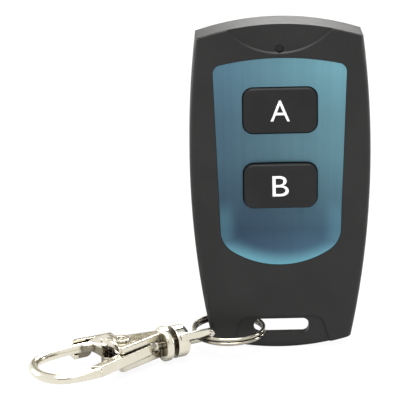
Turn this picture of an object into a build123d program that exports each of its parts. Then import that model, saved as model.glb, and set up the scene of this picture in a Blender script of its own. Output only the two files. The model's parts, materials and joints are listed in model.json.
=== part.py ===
from build123d import *
import math
import os

# A two-key remote fob with a split ring and a swivel snap hook.
# Everything is drawn with the fob lying on its back: X across, Y towards the top end,
# Z out of the key face, zero in the middle of the back face. It is stood up at the end.
# The depth isn't set by itself: it adds up from the floor, cell, board, switch, key and roof.

# Fob outline
BODY_LENGTH = 60.0
BODY_WIDTH = 32.0
SIDE_ARC_RADIUS = 170.0
TOP_ARC_RADIUS = 46.0
BOTTOM_ARC_RADIUS = 42.0
WIDEST_Y = 5.5
SIDE_EDGE_ROUND = 0.9
TOP_EDGE_ROUND = 0.4

# Shell walls and the joint between the two shells
WALL = 1.5
FLOOR_THICKNESS = 1.4
ROOF_THICKNESS = 2.2
SEAM_BELOW_BOARD = 0.2
BACK_TAPER = 1.75
BACK_EDGE_ROUND = 0.8
LIP_THICKNESS = 0.7
LIP_HEIGHT = 0.8
LIP_GAP = 0.05

# Tail that carries the strap slot
TAIL_LENGTH = 6.1
TAIL_THICKNESS = 4.1
SLOT_WIDTH = 9.96
SLOT_HEIGHT = 2.9
SLOT_CORNER = 1.1
SLOT_RISE = 4.0
WEB_THICKNESS = 1.75
ARCH_DEPTH = 0.35
ARCH_TOP_WIDTH = 14.8
ARCH_FOOT_WIDTH = 18.8
ARCH_CORNER = 2.2

# Front face details
PLATE_THICKNESS = 0.4
PLATE_SINK = 0.05
PLATE_GAP = 0.06
PLATE_BOND = 0.02
PLATE_BELOW_TOP = 5.97
PLATE_HEIGHT = 38.1
PLATE_TOP_RADIUS = 49.0
PLATE_BOTTOM_RADIUS = 15.5
PLATE_TOP_HALF = 11.8
PLATE_FOOT_HALF = 10.57
PLATE_TOP_CORNER = 1.6
PLATE_FOOT_CORNER = 4.75
BOWL_BELOW_PLATE_TOP = 26.13
BOWL_RIM_RADIUS = 12.0
BOWL_DEPTH = 0.85
BROW_RADIUS = 12.3
BROW_FOOT_RADIUS = 12.0
BROW_CENTRE_ABOVE_TOP = 7.0
BROW_DEPTH = 0.25
LAMP_BELOW_TOP = 4.4
LAMP_HOLE_RADIUS = 0.75

# Keys
KEY_BELOW_PLATE_TOP = {"a": 9.43, "b": 23.28}
KEY_WIDTH = 13.0
KEY_HEIGHT = 8.2
KEY_CORNER = 1.8
KEY_PROUD = 0.4
KEY_EDGE_ROUND = 0.5
KEY_GAP = 0.15
KEY_WALL = 1.0
FLANGE_OVERHANG = 0.8
FLANGE_THICKNESS = 0.8
FLANGE_GAP = 0.05
KEY_POST_RADIUS = 1.6

# Tactile switches
SWITCH_SIZE = 6.0
SWITCH_BASE_HEIGHT = 1.5
SWITCH_WELL_RADIUS = 2.35
SWITCH_WELL_DEPTH = 1.0
SWITCH_COVER_THICKNESS = 0.25
SWITCH_STEM_RADIUS = 1.5
SWITCH_STEM_PROUD = 0.65
SWITCH_STEM_GAP = 0.1
SWITCH_FOOT_RADIUS = 2.1
SWITCH_FOOT_THICKNESS = 0.4
DOME_RISE = 0.35
DOME_THICKNESS = 0.08
LEAD_WIDTH = 0.7
LEAD_LENGTH = 1.0
LEAD_THICKNESS = 0.2
LEAD_SPACING = 4.5

# Circuit board and what is soldered to it
BOARD_THICKNESS = 1.0
BOARD_EDGE_GAP = 0.4
TRACE_THICKNESS = 0.1
TRACE_WIDTH = 1.0
TRACE_HALF_WIDTH = 7.4
TRACE_BELOW_TOP = 5.6
TRACE_RUN = 16.0
CHIP_SIZE = (4.9, 3.9, 1.5)
CHIP_FROM_KEY_B = (-3.4, -11.25)
CHIP_EDGE = 0.3
CHIP_LEADS_A_SIDE = 4
CHIP_LEAD_PITCH = 1.27
CHIP_LEAD_WIDTH = 0.4
RESONATOR_SIZE = (5.0, 3.5, 1.4)
RESONATOR_CORNER = 0.8
RESONATOR_FROM_KEY_B = (5.2, -9.75)
TRANSISTOR_SIZE = (2.9, 1.3, 1.0)
TRANSISTOR_FROM_KEY_B = (4.4, -14.75)
PASSIVE_SIZE = (2.0, 1.25, 0.6)
PASSIVE_COLUMNS = {1.2: (-6.75, -9.5, -12.25, -15.0), 9.3: (6.0, 3.0, 0.0, -3.0)}
LAMP_SIZE = (1.6, 0.8, 0.7)
LENS_RADIUS = 0.7
LENS_FLANGE_RADIUS = 1.2
LENS_FLANGE_THICKNESS = 0.3
LENS_ABOVE_LAMP = 0.2
LENS_SINK = 0.35

# Coin cell and its contacts
CELL_RADIUS = 10.0
CELL_HEIGHT = 3.2
CELL_ABOVE_TAIL = 16.9
CELL_STEP = 0.3
CLIP_WIDTH = 6.0
CLIP_THICKNESS = 0.2
CLIP_FLOOR_GAP = 0.05
CONTACT_GAP = 0.05
CLIP_SIDE_GAP = 0.25
MINUS_PAD_RADIUS = 4.0
MINUS_PAD_THICKNESS = 0.1

# Case screws
TOP_SCREW_X = 10.6
TOP_SCREW_BELOW_TOP = 8.8
TAIL_SCREW_X = 9.0
TAIL_SCREW_ABOVE_TAIL = 4.6
SCREW_SHANK_RADIUS = 0.75
SCREW_HEAD_RADIUS = 1.6
SCREW_HEAD_HEIGHT = 1.1
SCREW_LENGTH = 6.6
SCREW_CLEARANCE = 0.2
PILOT_CLEARANCE = 0.05
COUNTERBORE_DEPTH = 1.8
BACK_BOSS_RADIUS = 2.5
FRONT_BOSS_RADIUS = 2.0
POST_SIZE = (1.6, 3.0)
POST_Y = (11.0, -9.0)
POST_INSET = 0.6

# Split ring, two flat turns joined by a short crossing
RING_X = -9.55
RING_BELOW_SLOT = 0.55
RING_BELOW_FACE = 0.9
RING_RADIUS = 6.35
RING_WIRE_RADIUS = 0.35
RING_TURN_GAP = 0.06
RING_CROSSING = 30.0
RING_CROSSING_AT = -75.0

# Swivel eye: its own frame has X along the hook, Y towards the gate, Z along the rivet
SWIVEL_FROM_RING = (-10.55, 0.0, 5.9)
HOOK_ANGLE = 26.5
EYE_ROLL = 56.0
EYE_BAR_RADIUS = 0.7
EYE_BAR_START = 0.9
EYE_HALF_WIDTH = 2.6
EYE_REACH = 8.4
EYE_CORNER = 1.3
BARREL_RADIUS = 2.95
BARREL_NEAR = 0.35
BARREL_FAR = 2.95
BARREL_ROUND = 0.9
NECK_RADIUS = 1.3
SHANK_RADIUS = 0.7
SHANK_CLEARANCE = 0.05
SHANK_HEAD_RADIUS = 1.03
SHANK_HEAD_THICKNESS = 0.5

# Hook body: the cheeks widen towards the mouth, and the arm carries the bar of the hook
FLANGE_NEAR = 0.6
FLANGE_DISC_RADIUS = 3.2
FLANGE_DISC_THICKNESS = 1.3
FLANGE_DISC_ROUND = 0.3
CHEEK_START = 1.5
CHEEK_END = 12.5
CHEEK_NEAR_Y = (0.2, 4.0)
CHEEK_FAR_Y = (-1.25, -2.7)
CHEEK_CORNER = 0.7
MOUTH_BITE_POINTS = ((12.6, -2.9), (11.2, -0.5), (12.1, 4.2))
FRAME_THICKNESS = 4.5
FRAME_SLOT = 2.2
FRAME_SLOT_START = 2.7
FRAME_SLOT_END = 11.1
FRAME_MOUTH_Y = -2.6
ARM_POINTS = ((8.6, -1.5), (10.4, -4.5), (12.2, -6.1), (13.2, -6.3), (13.2, -4.6), (12.0, -1.5))
ARM_TAPER_START = 10.4
ARM_TAPER_END = 13.0
BAR_RADIUS = 0.85
BAR_START = (11.4, -4.9)
BAR_POINTS = (
    (13.6, -5.5),
    (17.4, -5.45),
    (21.0, -4.95),
    (24.3, -3.6),
    (26.0, -0.6),
    (25.9, 2.6),
    (24.2, 5.2),
    (21.4, 6.25),
)
BAR_END = (16.5, 6.15)

# Gate lever, rivet and spring
PIVOT = (9.4, -0.3)
GATE_WIDTH = 1.9
GATE_THICKNESS = 1.5
GATE_TAIL = (4.6, 0.69)
GATE_LINE_END = (18.5, 6.35)
MEETING_POINT = (17.0, 5.8)
MEETING_NORMAL = (-0.6, -0.8)
MEETING_GAP = 0.08
HUB_RADIUS = 1.6
LEVER_ARM_WIDTH = 2.2
RIVET_RADIUS = 0.8
RIVET_CLEARANCE = 0.05
RIVET_HEAD_RADIUS = 1.45
RIVET_HEAD_THICKNESS = 0.4
RIVET_DIMPLE_RADIUS = 0.7
RIVET_DIMPLE_DEPTH = 0.2
EAR_INNER = 0.7
SPRING_ROOM = 1.6
TAB_START = 12.4
TAB_END = 16.4
TAB_LOW = -2.5
TAB_HIGH = 1.0
TAB_CORNER = 1.2
TAB_FACE_Y = -6.8
TAB_THICKNESS = 0.8
TAB_LIP_WIDTH = 0.8
TAB_LIP_REACH = 1.4
TAB_LIP_HIGH = -1.15
SPRING_RADIUS = 1.2
SPRING_WIRE_RADIUS = 0.14
SPRING_PITCH = 0.72
SPRING_HALF_TURNS = 3


def slab(face, low, high):
    """A straight-sided solid between two heights."""
    return Pos(0, 0, low) * extrude(face, high - low, dir=(0, 0, 1))


def disc(radius, x, y, low, high):
    """An upright cylinder between two heights."""
    return slab(Pos(x, y) * Circle(radius), low, high)


def top_y():
    return BODY_LENGTH / 2


def tail_y():
    return TAIL_LENGTH - BODY_LENGTH / 2


def slot_y():
    return SLOT_RISE - BODY_LENGTH / 2


def lamp_y():
    return top_y() - LAMP_BELOW_TOP


def plate_top_y():
    return top_y() - PLATE_BELOW_TOP


def key_y(key):
    return plate_top_y() - KEY_BELOW_PLATE_TOP[key]


def cell_y():
    return tail_y() + CELL_ABOVE_TAIL


def cell_low_z():
    return FLOOR_THICKNESS + CLIP_FLOOR_GAP + CLIP_THICKNESS


def board_underside_z():
    return cell_low_z() + CELL_HEIGHT + CONTACT_GAP + MINUS_PAD_THICKNESS


def seam_z():
    return board_underside_z() - SEAM_BELOW_BOARD


def board_top_z():
    return board_underside_z() + BOARD_THICKNESS


def switch_top_z():
    return board_top_z() + SWITCH_BASE_HEIGHT


def plunger_top_z():
    return switch_top_z() + SWITCH_COVER_THICKNESS + SWITCH_STEM_PROUD


def key_flange_low_z():
    return plunger_top_z() + FLANGE_GAP


def key_flange_top_z():
    return key_flange_low_z() + FLANGE_THICKNESS


def roof_z():
    return key_flange_top_z() + FLANGE_GAP


def face_z():
    return roof_z() + ROOF_THICKNESS


def plate_seat_z():
    return face_z() - PLATE_SINK - PLATE_THICKNESS


def screw_points():
    """The four case screws: two near the top, two near the tail."""
    high = top_y() - TOP_SCREW_BELOW_TOP
    low = tail_y() + TAIL_SCREW_ABOVE_TAIL
    return [(side * x, y) for x, y in ((TOP_SCREW_X, high), (TAIL_SCREW_X, low)) for side in (-1, 1)]


def ring_centre():
    return Vector(RING_X, slot_y() - RING_BELOW_SLOT, face_z() - RING_BELOW_FACE)


def outline():
    """The barrel outline: where four large discs overlap."""
    side = SIDE_ARC_RADIUS - BODY_WIDTH / 2
    left = Pos(side, WIDEST_Y) * Circle(SIDE_ARC_RADIUS)
    right = Pos(-side, WIDEST_Y) * Circle(SIDE_ARC_RADIUS)
    top = Pos(0, top_y() - TOP_ARC_RADIUS) * Circle(TOP_ARC_RADIUS)
    bottom = Pos(0, BOTTOM_ARC_RADIUS - top_y()) * Circle(BOTTOM_ARC_RADIUS)
    return left & right & top & bottom


def case_face(inset):
    """The outline above the tail, moved inwards."""
    above_tail = Pos(0, tail_y() + BODY_LENGTH / 2) * Rectangle(2 * BODY_WIDTH, BODY_LENGTH)
    case = outline() & above_tail
    if inset == 0:
        return case
    return offset(case, -inset, kind=Kind.INTERSECTION)


def arch_face():
    """The arch round the strap slot, open at the bottom edge."""
    foot = -BODY_LENGTH / 2 - 1.0
    top = ARCH_TOP_WIDTH / 2
    base = ARCH_FOOT_WIDTH / 2
    arch = Polygon((-base, foot), (base, foot), (top, tail_y()), (-top, tail_y()), align=None)
    return fillet(arch.vertices().sort_by(Axis.Y)[-2:], ARCH_CORNER)


def plate_face(inset):
    """The shield-shaped outline of the trim plate."""
    high = plate_top_y()
    low = high - PLATE_HEIGHT
    corners = Polygon(
        (-PLATE_TOP_HALF, high),
        (PLATE_TOP_HALF, high),
        (PLATE_FOOT_HALF, low),
        (-PLATE_FOOT_HALF, low),
        align=None,
    )
    top = Pos(0, high - PLATE_TOP_RADIUS) * Circle(PLATE_TOP_RADIUS)
    bottom = Pos(0, low + PLATE_BOTTOM_RADIUS) * Circle(PLATE_BOTTOM_RADIUS)
    shield = corners & top
    lower = Pos(0, low + PLATE_BOTTOM_RADIUS / 2)
    shield -= lower * Rectangle(2 * BODY_WIDTH, PLATE_BOTTOM_RADIUS) - bottom
    points = shield.vertices().sort_by(Axis.Y)
    shield = fillet(points[:2], PLATE_FOOT_CORNER)
    points = shield.vertices().sort_by(Axis.Y)
    shield = fillet(points[-2:], PLATE_TOP_CORNER)
    if inset == 0:
        return shield
    return offset(shield, -inset)


def bowl(extra, seat_z):
    """The large sphere that dishes the face for the thumb."""
    radius = (BOWL_RIM_RADIUS**2 + BOWL_DEPTH**2) / (2 * BOWL_DEPTH)
    centre_y = plate_top_y() - BOWL_BELOW_PLATE_TOP
    return Pos(0, centre_y, seat_z - BOWL_DEPTH + radius) * Sphere(radius + extra)


def key_face(grow):
    """The rounded outline of a key, grown on every side."""
    width = KEY_WIDTH + 2 * grow
    height = KEY_HEIGHT + 2 * grow
    return RectangleRounded(width, height, KEY_CORNER + grow)


def plate_recess():
    """The pocket in the front shell that the trim plate lies in."""
    seat = plate_seat_z() - PLATE_BOND
    top = plate_seat_z() + PLATE_THICKNESS
    flat = slab(plate_face(0), seat, face_z() + 1)
    deep = slab(plate_face(0), seat - 2 * BOWL_DEPTH, seat + PLATE_BOND)
    return flat + (deep & bowl(PLATE_THICKNESS + PLATE_BOND, top))


def trim_plate():
    """A thin dished plate with two key openings."""
    seat = plate_seat_z()
    top = seat + PLATE_THICKNESS
    plate = slab(plate_face(PLATE_GAP), seat - 2 * BOWL_DEPTH, top) - bowl(0, top)
    under = slab(Rectangle(2 * BODY_WIDTH, BODY_LENGTH), seat - 3 * BOWL_DEPTH, seat)
    plate -= under - bowl(PLATE_THICKNESS, top)
    for key in KEY_BELOW_PLATE_TOP:
        plate -= Pos(0, key_y(key)) * slab(key_face(KEY_GAP), seat - 3 * BOWL_DEPTH, face_z() + 1)
    return plate


def tail_cuts():
    """The arch, the relief behind the web, the slot and the space under the tail."""
    below_tail = Pos(0, tail_y() - top_y()) * Rectangle(2 * BODY_WIDTH, BODY_LENGTH)
    low = seam_z() - 1
    web_top = face_z() - ARCH_DEPTH
    under = slab(below_tail, low, face_z() - TAIL_THICKNESS)
    front = slab(arch_face(), web_top, face_z() + 1)
    rear = slab(arch_face(), low, web_top - WEB_THICKNESS)
    slot = Pos(0, slot_y()) * RectangleRounded(SLOT_WIDTH, SLOT_HEIGHT, SLOT_CORNER)
    return under + front + rear + slab(slot, low, face_z() + 1)


def brow():
    """The slightly sunken brow round the lamp, with a sloping rim."""
    slope = (BROW_RADIUS - BROW_FOOT_RADIUS) / BROW_DEPTH
    high = 2 * BROW_DEPTH
    upright = (Align.CENTER, Align.CENTER, Align.MIN)
    cone = Cone(BROW_FOOT_RADIUS, BROW_FOOT_RADIUS + slope * high, high, align=upright)
    return Pos(0, top_y() + BROW_CENTRE_ABOVE_TOP, face_z() - BROW_DEPTH) * cone


def front_shell():
    """The upper shell: roof, side walls, tail, key openings and screw bosses."""
    seam = seam_z()
    shell = slab(outline(), seam, face_z())
    rim = shell.edges().group_by(Axis.Z)[-1].sort_by(Axis.X)
    shell = fillet([rim[0], rim[-1]], SIDE_EDGE_ROUND)
    top_rim = shell.edges().group_by(Axis.Z)[-1].sort_by(Axis.Y)[-1]
    shell = fillet(top_rim, TOP_EDGE_ROUND)
    shell -= slab(case_face(WALL), seam, roof_z())
    rebate = case_face(WALL - LIP_THICKNESS - LIP_GAP)
    shell -= slab(rebate, seam, seam + LIP_HEIGHT + LIP_GAP)
    shell -= tail_cuts()
    shell -= plate_recess()
    for key in KEY_BELOW_PLATE_TOP:
        shell -= Pos(0, key_y(key)) * slab(key_face(KEY_GAP), roof_z() - 1, face_z() + 1)
    shell -= brow()
    shell -= disc(LAMP_HOLE_RADIUS, 0, lamp_y(), roof_z() - 1, face_z() + 1)
    for x, y in screw_points():
        shell += disc(FRONT_BOSS_RADIUS, x, y, seam, roof_z())
        pilot_top = COUNTERBORE_DEPTH + SCREW_LENGTH + LIP_GAP
        shell -= disc(SCREW_SHANK_RADIUS + PILOT_CLEARANCE, x, y, seam, pilot_top)
    return shell


def post_points():
    """Where the board's side posts stand, against the side walls."""
    points = []
    for y in POST_Y:
        half = BODY_WIDTH / 2 - (y - WIDEST_Y) ** 2 / (2 * SIDE_ARC_RADIUS)
        x = half - WALL - POST_INSET
        points += [(x, y), (-x, y)]
    return points


def tapered(inset):
    """The case narrowing from the seam to the flat back."""
    back = case_face(inset + BACK_TAPER)
    seam = Pos(0, 0, seam_z()) * case_face(inset)
    return loft([back.face(), seam.face()], ruled=True)


def back_shell():
    """The lower shell with its lip, screw bosses and board posts."""
    seam = seam_z()
    outer = fillet(tapered(0).edges().group_by(Axis.Z)[0], BACK_EDGE_ROUND)
    above_floor = slab(case_face(0), FLOOR_THICKNESS, seam + 1)
    shell = outer - (tapered(WALL) & above_floor)
    lip = case_face(WALL - LIP_THICKNESS) - case_face(WALL)
    shell += slab(lip, seam, seam + LIP_HEIGHT)
    for x, y in post_points():
        post = Pos(x, y) * Rectangle(*POST_SIZE)
        shell += slab(post, FLOOR_THICKNESS / 2, seam) & outer
        shell += slab(post & case_face(WALL - LIP_THICKNESS), seam, board_underside_z())
    for x, y in screw_points():
        shell += disc(BACK_BOSS_RADIUS, x, y, FLOOR_THICKNESS / 2, seam) & outer
        shell -= disc(SCREW_SHANK_RADIUS + SCREW_CLEARANCE, x, y, 0, seam)
        shell -= disc(SCREW_HEAD_RADIUS + SCREW_CLEARANCE, x, y, 0, COUNTERBORE_DEPTH)
    return shell


def key_cap(y):
    """A hollow key cap with its stop flange and centre post."""
    low = key_flange_low_z()
    top = face_z() + KEY_PROUD
    cap = slab(key_face(0), low, top)
    rim = cap.edges().filter_by_position(Axis.Z, top, top)
    cap = fillet(rim, KEY_EDGE_ROUND)
    cap += slab(key_face(FLANGE_OVERHANG), low, key_flange_top_z())
    cap -= slab(key_face(-KEY_WALL), low, top - KEY_WALL)
    cap += disc(KEY_POST_RADIUS, 0, 0, low, top - KEY_WALL / 2)
    return Pos(0, y, 0) * cap


def switch_base(y):
    """The moulded base with its round well."""
    low = board_top_z()
    top = switch_top_z()
    base = slab(Rectangle(SWITCH_SIZE, SWITCH_SIZE), low + LEAD_THICKNESS, top)
    base += slab(Rectangle(LEAD_SPACING, LEAD_SPACING - 2 * LEAD_WIDTH), low, top)
    base -= disc(SWITCH_WELL_RADIUS, 0, 0, top - SWITCH_WELL_DEPTH, top)
    return Pos(0, y, 0) * base


def switch_leads():
    """Four flat solder leads under each switch."""
    low = board_top_z()
    leads = []
    for key in KEY_BELOW_PLATE_TOP:
        for side in (-1, 1):
            for end in (-1, 1):
                x = side * SWITCH_SIZE / 2
                lead = Rectangle(LEAD_LENGTH, LEAD_WIDTH)
                place = Pos(x, key_y(key) + end * LEAD_SPACING / 2)
                leads.append(slab(place * lead, low, low + LEAD_THICKNESS))
    return leads


def switch_cover(y):
    """The pressed cover plate round the plunger."""
    low = switch_top_z()
    plate = Rectangle(SWITCH_SIZE, SWITCH_SIZE) - Circle(SWITCH_STEM_RADIUS + SWITCH_STEM_GAP)
    return Pos(0, y, 0) * slab(plate, low, low + SWITCH_COVER_THICKNESS)


def switch_plunger(y):
    """The stem that the key presses, with a foot that the cover holds in."""
    foot_top = switch_top_z() - SWITCH_STEM_GAP
    foot_low = foot_top - SWITCH_FOOT_THICKNESS
    plunger = disc(SWITCH_FOOT_RADIUS, 0, 0, foot_low, foot_top)
    plunger += disc(SWITCH_STEM_RADIUS, 0, 0, foot_low, plunger_top_z())
    return Pos(0, y, 0) * plunger


def switch_dome(y):
    """The sprung metal dome under the plunger."""
    floor = switch_top_z() - SWITCH_WELL_DEPTH
    rim = SWITCH_FOOT_RADIUS
    radius = (rim**2 + DOME_RISE**2) / (2 * DOME_RISE)
    centre = floor + DOME_RISE - radius
    ball = Pos(0, 0, centre) * Sphere(radius)
    core = Pos(0, 0, centre) * Sphere(radius - DOME_THICKNESS)
    above = disc(rim, 0, 0, floor, floor + DOME_RISE)
    return Pos(0, y, 0) * ((ball - core) & above)


def screw_notch(x, y):
    """The board's cut round a screw boss, open to the side, and to the end at the tail."""
    radius = FRONT_BOSS_RADIUS + BOARD_EDGE_GAP
    side = math.copysign(BODY_WIDTH / 2, x)
    if y > 0:
        return Pos(x, y) * Circle(radius) + Pos(x + side / 2, y) * Rectangle(abs(side), 2 * radius)
    corner = Rectangle(BODY_WIDTH, BODY_WIDTH)
    return Pos(x + side - math.copysign(radius, x), y + radius - BODY_WIDTH / 2) * corner


def circuit_board():
    """The board, notched round the screw bosses."""
    board = case_face(WALL + BOARD_EDGE_GAP)
    for x, y in screw_points():
        board -= screw_notch(x, y)
    return slab(board, board_underside_z(), board_top_z())


def antenna_trace():
    """The printed antenna, a copper strip bent into an upside-down U."""
    high = top_y() - TRACE_BELOW_TOP
    middle = high - TRACE_RUN / 2
    loop = Pos(0, middle) * Rectangle(2 * TRACE_HALF_WIDTH, TRACE_RUN)
    inside = 2 * (TRACE_HALF_WIDTH - TRACE_WIDTH)
    loop -= Pos(0, middle - TRACE_WIDTH) * Rectangle(inside, TRACE_RUN)
    return slab(loop, board_top_z(), board_top_z() + TRACE_THICKNESS)


def on_board(size, centre):
    """A rectangular component standing on the board."""
    length, width, height = size
    part = Pos(*centre) * Rectangle(length, width)
    return slab(part, board_top_z(), board_top_z() + height)


def from_key_b(shift):
    """A place on the board, measured from the lower switch."""
    return shift[0], key_y("b") + shift[1]


def encoder_chip():
    """A moulded chip with flat leads on two sides."""
    x, y = from_key_b(CHIP_FROM_KEY_B)
    body = on_board(CHIP_SIZE, (x, y))
    pieces = [chamfer(body.edges().group_by(Axis.Z)[-1], CHIP_EDGE)]
    for side in (-1, 1):
        lead_y = y + side * (CHIP_SIZE[1] + LEAD_LENGTH) / 2
        for lead in range(CHIP_LEADS_A_SIDE):
            lead_x = x + (lead - (CHIP_LEADS_A_SIDE - 1) / 2) * CHIP_LEAD_PITCH
            size = (CHIP_LEAD_WIDTH, LEAD_LENGTH, LEAD_THICKNESS)
            pieces.append(on_board(size, (lead_x, lead_y)))
    return pieces


def saw_resonator():
    """The metal can that sets the radio frequency."""
    can = on_board(RESONATOR_SIZE, from_key_b(RESONATOR_FROM_KEY_B))
    return fillet(can.edges().filter_by(Axis.Z), RESONATOR_CORNER)


def chip_passives():
    """Two columns of chip resistors and capacitors."""
    places = [(x, shift) for x, shifts in PASSIVE_COLUMNS.items() for shift in shifts]
    return [on_board(PASSIVE_SIZE, from_key_b(place)) for place in places]


def indicator_led():
    """The small lamp under its hole in the face."""
    length, width, height = LAMP_SIZE
    base = on_board((length, width, height / 2), (0, lamp_y()))
    dome = on_board((length - 2 * LEAD_THICKNESS, width, height), (0, lamp_y()))
    return base + dome


def lamp_lens():
    """The clear rod that brings the lamp's light to the face, with a flange under the roof."""
    low = board_top_z() + LAMP_SIZE[2] + LENS_ABOVE_LAMP
    high = face_z() - BROW_DEPTH - LENS_SINK
    flange_high = roof_z() - FLANGE_GAP
    flange_low = flange_high - LENS_FLANGE_THICKNESS
    rod = disc(LENS_RADIUS, 0, lamp_y(), low, high)
    return rod + disc(LENS_FLANGE_RADIUS, 0, lamp_y(), flange_low, flange_high)


def coin_cell():
    """A coin cell with its narrower negative face towards the board."""
    low = cell_low_z()
    high = low + CELL_HEIGHT
    can = disc(CELL_RADIUS, 0, cell_y(), low, high - CELL_STEP)
    can = chamfer(can.edges().group_by(Axis.Z)[0], CELL_STEP)
    return can + disc(CELL_RADIUS - 2 * CELL_STEP, 0, cell_y(), low + CELL_STEP, high)


def battery_clip():
    """The positive strap that cradles the cell and stands on the board."""
    low = cell_low_z() - CLIP_THICKNESS
    side = CELL_RADIUS + CLIP_SIDE_GAP
    high = board_underside_z()
    outer = slab(Rectangle(2 * (side + CLIP_THICKNESS), CLIP_WIDTH), low, high)
    inner = slab(Rectangle(2 * side, CLIP_WIDTH), low + CLIP_THICKNESS, high)
    return Pos(0, cell_y(), 0) * (outer - inner)


def battery_contact():
    """The negative pad between the board and the cell."""
    high = board_underside_z()
    return disc(MINUS_PAD_RADIUS, 0, cell_y(), high - MINUS_PAD_THICKNESS, high)


def back_screws():
    """The case screws, with a domed head in each counterbore."""
    screws = []
    head_low = COUNTERBORE_DEPTH - SCREW_HEAD_HEIGHT
    for x, y in screw_points():
        head = disc(SCREW_HEAD_RADIUS, x, y, head_low, COUNTERBORE_DEPTH)
        head = chamfer(head.edges().group_by(Axis.Z)[0], SCREW_HEAD_HEIGHT / 2)
        shank_top = COUNTERBORE_DEPTH + SCREW_LENGTH
        screws.append(head + disc(SCREW_SHANK_RADIUS, x, y, COUNTERBORE_DEPTH, shank_top))
    return screws


def biarc(start, start_way, end, end_way):
    """Two tangent arcs from one point and direction to another."""
    across = end - start
    both = start_way + end_way
    a = 2 * (start_way.dot(end_way) - 1)
    b = -2 * across.dot(both)
    c = across.dot(across)
    if abs(a) < 1e-6:
        reach = -c / b
    else:
        reach = (-b - math.sqrt(b * b - 4 * a * c)) / (2 * a)
    first = start + start_way * reach
    last = end - end_way * reach
    middle = (first + last) * 0.5
    return [
        TangentArc(start, middle, tangent=start_way),
        TangentArc(middle, end, tangent=last - first),
    ]


def coil_point(angle, radius, rise):
    """A point and direction on a coil about Y; rise gives height and slope at an angle."""
    height, slope = rise(angle)
    way = Vector(-radius * math.sin(angle), slope, radius * math.cos(angle))
    return Vector(radius * math.cos(angle), height, radius * math.sin(angle)), way.normalized()


def coil_path(stations, radius, rise):
    """Tangent arcs through the coil's stations."""
    arcs = []
    for low, high in zip(stations, stations[1:]):
        start, start_way = coil_point(low, radius, rise)
        end, end_way = coil_point(high, radius, rise)
        arcs += biarc(start, start_way, end, end_way)
    return arcs


def round_wire(arcs, radius):
    """A round wire along a path."""
    path = Wire(arcs)
    section = Plane(path @ 0, z_dir=path % 0) * Circle(radius)
    return sweep(section, path=path, clean=False)


def split_ring():
    """Two flat turns of wire; the first crosses over to the second in one short step."""
    crossing = math.radians(RING_CROSSING)
    turn = 2 * math.pi
    pitch = 2 * RING_WIRE_RADIUS + RING_TURN_GAP

    def rise(angle):
        share = (angle - turn + crossing / 2) / crossing
        share = min(max(share, 0), 1)
        height = pitch * (3 * share**2 - 2 * share**3 - 0.5)
        return height, pitch * 6 * share * (1 - share) / crossing

    start = crossing / 2
    first = [start + (turn - crossing) * step / 4 for step in range(5)]
    second = [turn + angle for angle in first]
    arcs = coil_path(first + [turn] + second, RING_RADIUS, rise)
    ring = round_wire(arcs, RING_WIRE_RADIUS)
    print("split ring, gap between its two turns:", round(pitch - 2 * RING_WIRE_RADIUS, 3))
    return Pos(ring_centre()) * Rot(0, -RING_CROSSING_AT, 0) * ring


def along_x(radius, low, high):
    """A cylinder along X."""
    length = high - low
    bar = Cylinder(radius, length, align=(Align.CENTER, Align.CENTER, Align.MIN))
    return Pos(low, 0, 0) * Rot(0, 90, 0) * bar


def along_z(radius, point, low, high):
    """A cylinder along Z at a point of the hook's plane."""
    return disc(radius, point[0], point[1], low, high)


def clasp():
    """The hook's own frame: X along the hook, Y towards the gate, Z along the rivet."""
    angle = math.radians(HOOK_ANGLE)
    ahead = (-math.cos(angle), 0, math.sin(angle))
    swivel_point = ring_centre() + Vector(*SWIVEL_FROM_RING)
    return Plane(origin=swivel_point, x_dir=ahead, z_dir=(0, 1, 0)).location


def swivel_eye():
    """The eye that the ring passes through, its barrel and its riveted shank."""
    barrel = along_x(BARREL_RADIUS, -BARREL_FAR, -BARREL_NEAR)
    barrel = fillet(barrel.edges().group_by(Axis.X)[0], BARREL_ROUND)
    eye = barrel + along_x(NECK_RADIUS, -BARREL_NEAR - 0.1, FLANGE_NEAR - SHANK_CLEARANCE)
    head_low = FRAME_SLOT_START + SHANK_CLEARANCE
    head_high = head_low + SHANK_HEAD_THICKNESS
    eye += along_x(SHANK_RADIUS, 0, head_high)
    eye += along_x(SHANK_HEAD_RADIUS, head_low, head_high)
    roll = math.radians(EYE_ROLL)
    plane = Plane(origin=(0, 0, 0), x_dir=(1, 0, 0), z_dir=(0, -math.cos(roll), math.sin(roll)))
    tip = EYE_BAR_RADIUS - EYE_REACH
    side = EYE_HALF_WIDTH
    root = -EYE_BAR_START
    loop = FilletPolyline((root, side), (tip, side), (tip, -side), (root, -side), radius=EYE_CORNER)
    path = plane * Wire(loop.edges())
    section = Plane(path @ 0, z_dir=path % 0) * Circle(EYE_BAR_RADIUS)
    return clasp() * (eye + sweep(section, path=path))


def hook_path():
    """The hook's centre line from its root round to the nose."""
    return Wire([Spline(BAR_START, *BAR_POINTS, BAR_END)])


def meeting_cut(gap, side):
    """A block on one side of the slanted face where the gate meets the nose."""
    nx, ny = MEETING_NORMAL
    block = 10.0
    centre = gap + side * block / 2
    place = Pos(MEETING_POINT[0] + nx * centre, MEETING_POINT[1] + ny * centre, 0)
    return place * Rot(0, 0, math.degrees(math.atan2(ny, nx))) * Box(block, block, block)


def cheek_face():
    """One cheek: it widens along the hook and ends in a shallow round bite."""
    near = CHEEK_NEAR_Y
    far = CHEEK_FAR_Y
    cheek = Polygon(
        (CHEEK_START, far[0]),
        (CHEEK_END, far[1]),
        (CHEEK_END, near[1]),
        (CHEEK_START, near[0]),
        align=None,
    )
    bite = ThreePointArc(*MOUTH_BITE_POINTS)
    cheek -= Pos(bite.arc_center) * Circle(bite.radius)
    corner = cheek.vertices().sort_by(Axis.Y)[-1]
    return fillet(corner, CHEEK_CORNER)


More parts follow.
